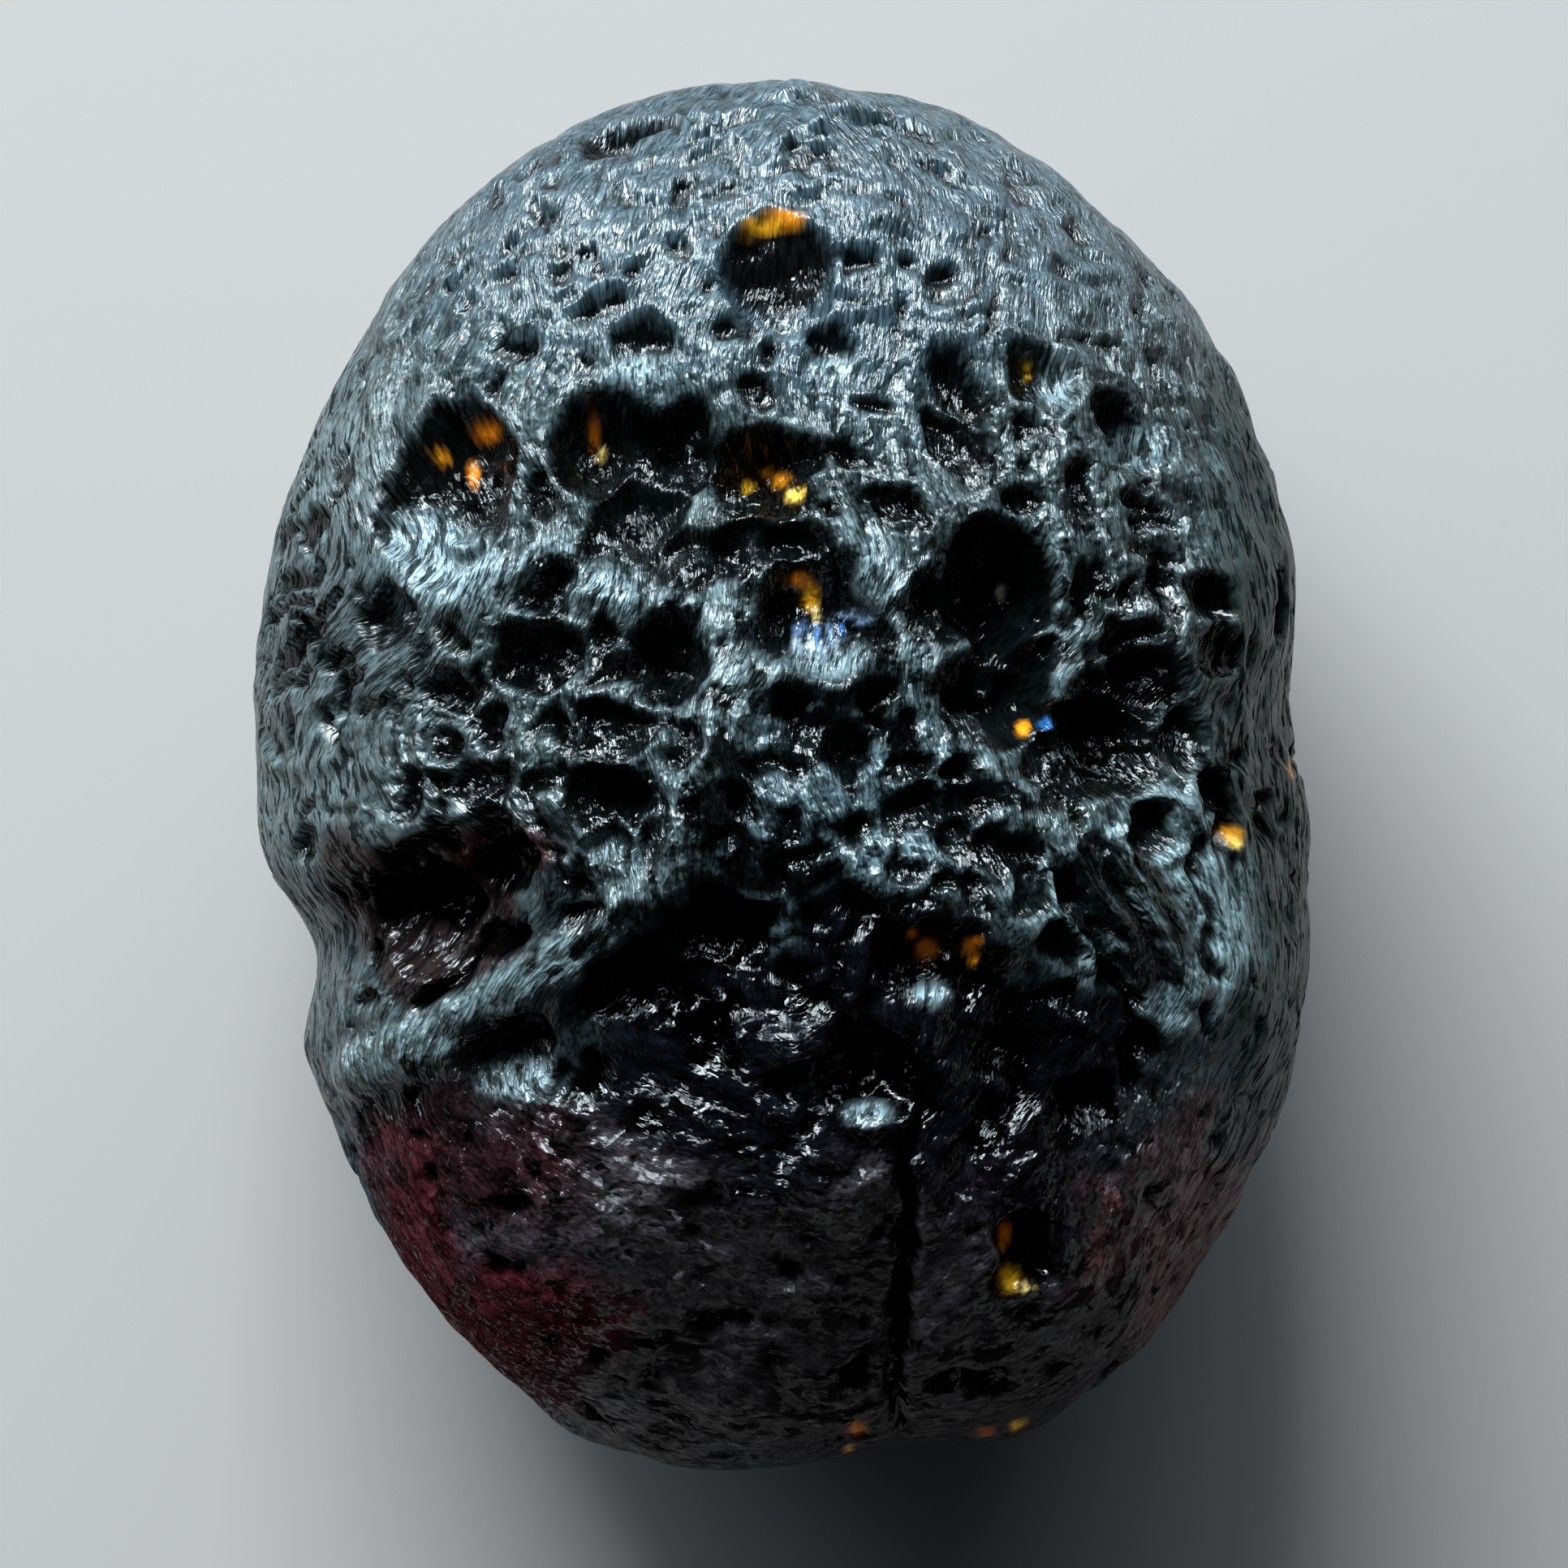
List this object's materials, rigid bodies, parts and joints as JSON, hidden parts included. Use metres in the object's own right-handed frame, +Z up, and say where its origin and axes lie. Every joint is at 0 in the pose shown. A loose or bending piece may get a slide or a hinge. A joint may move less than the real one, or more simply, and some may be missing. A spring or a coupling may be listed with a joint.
{
  "type": "tektite",
  "caption": "Oval lump of black natural glass, domed on top, pitted by burst bubbles and striped by flow lines, lying on its flatter underside.",
  "frame": {"origin": "on the surface that the stone lies on, under the middle of its bounding box", "axes": "+Y along the longest extent, towards the smooth cap; +Z up, the shortest extent; +X completes a right-handed frame"},
  "size_m": [0.0432, 0.0568, 0.03],
  "materials": {
    "tektite_glass": "opaque black natural glass, glossy on the ridges and satin where fine flow lines cover it, with maroon low flanks and small amber lights in some pits"
  },
  "bodies": {
    "root": {"tektite": "tektite_glass"}
  },
  "joints": []
}
